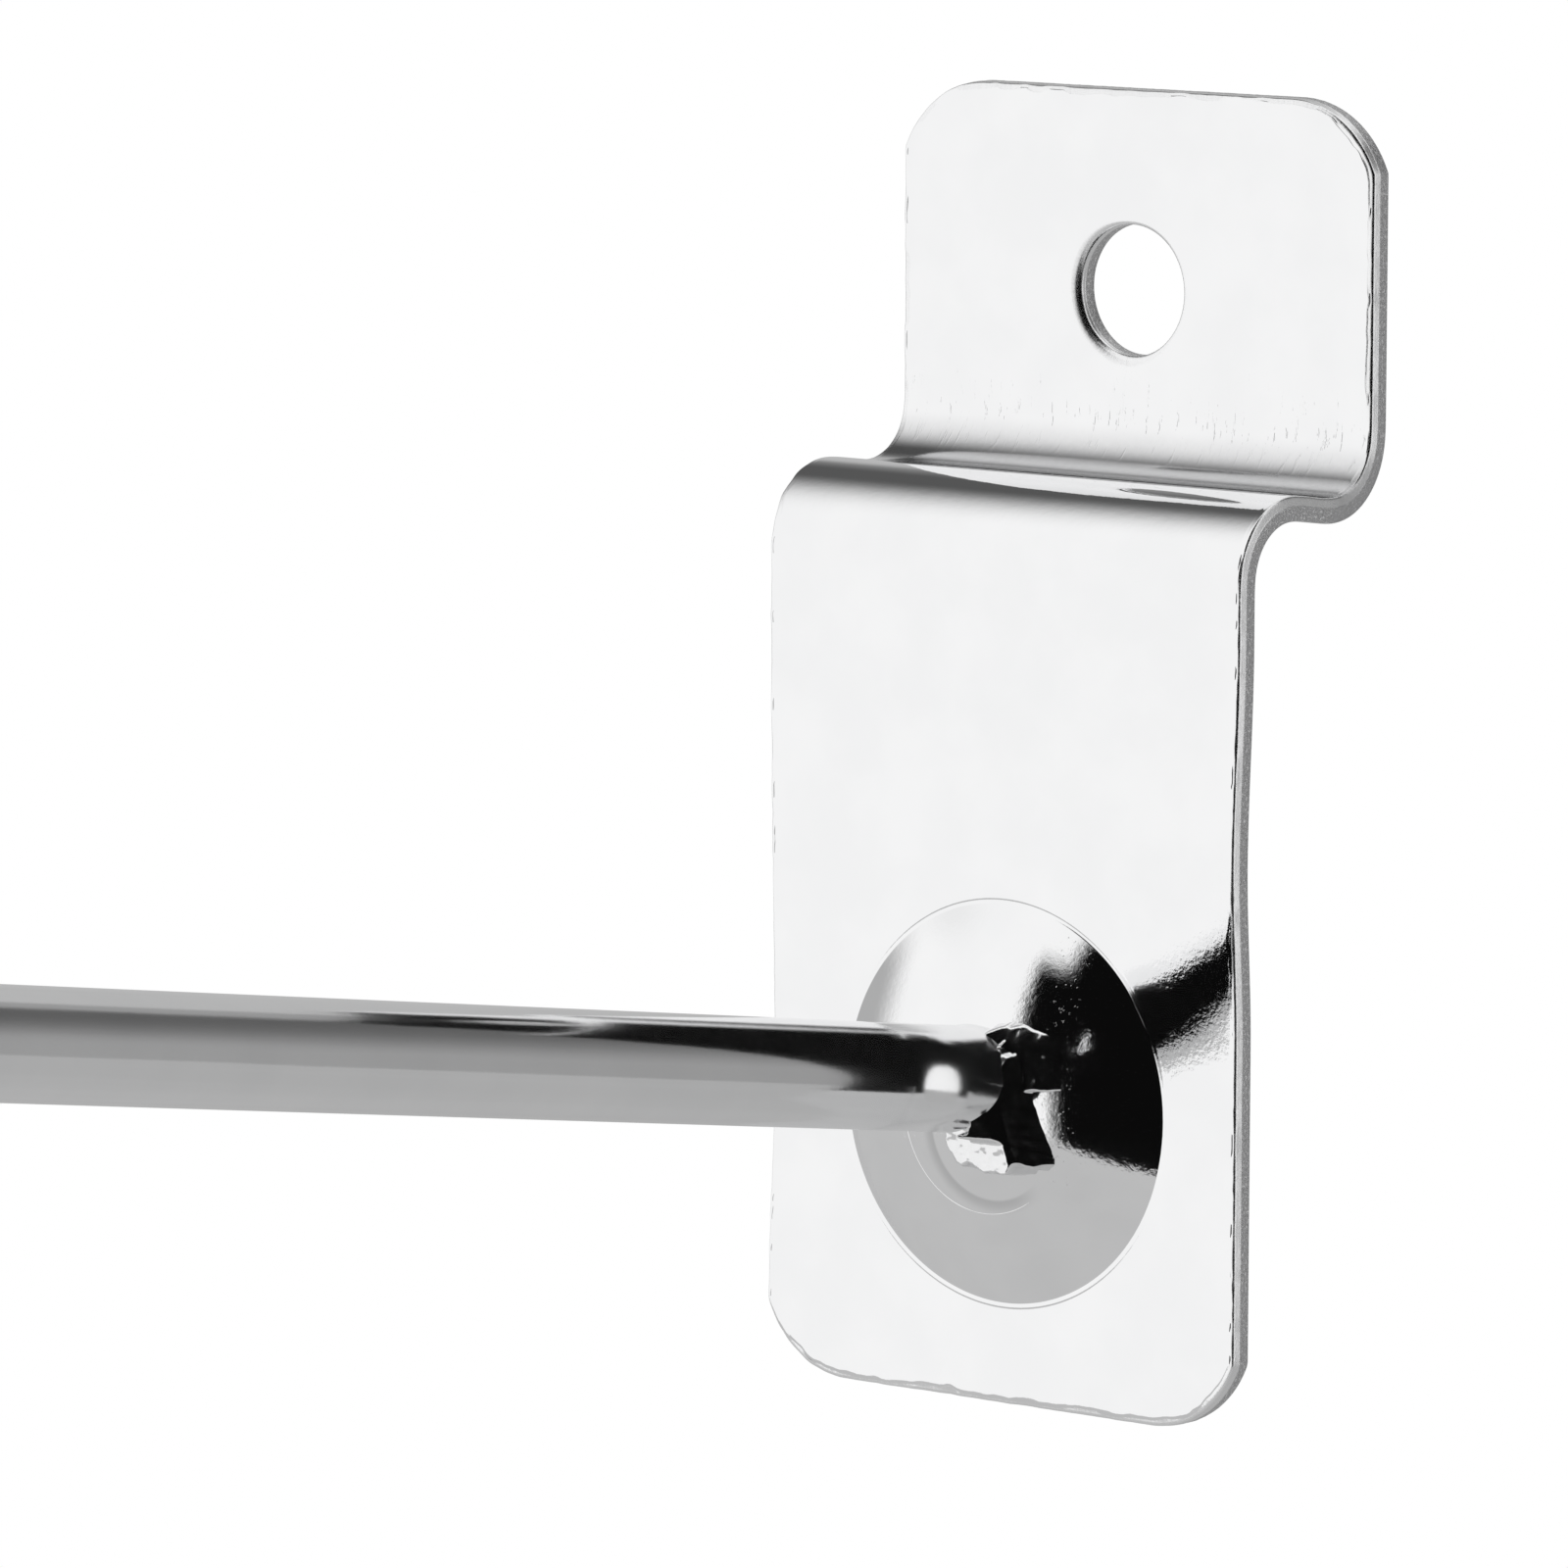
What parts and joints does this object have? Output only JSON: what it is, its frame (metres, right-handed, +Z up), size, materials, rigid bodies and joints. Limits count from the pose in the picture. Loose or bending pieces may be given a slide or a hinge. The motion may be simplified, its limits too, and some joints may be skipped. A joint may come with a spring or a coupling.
{
  "type": "slatwall hook",
  "caption": "Chromed slatwall hook: joggled sheet-steel back plate with a fixing hole and a domed boss, and a wire prong that leans up to a turned-up tip.",
  "frame": {"origin": "on the centre line, where the top edge of the slat meets its front face: the lower plate's back lies on Y = 0 and the web's underside rests on Z = 0", "axes": "+Z up, +Y into the wall, prong points to -Y, +X to the right seen from behind the wall's front"},
  "size_m": [0.028, 0.1116, 0.0611],
  "materials": {
    "plate_chrome": "bright chrome plate on pressed sheet steel, fine brush marks at the folds, sheared edges left duller",
    "wire_chrome": "bright chrome plate on drawn steel wire, lumpy plated weld at the foot"
  },
  "bodies": {
    "root": {"back_plate": "plate_chrome", "prong": "wire_chrome"}
  },
  "joints": []
}
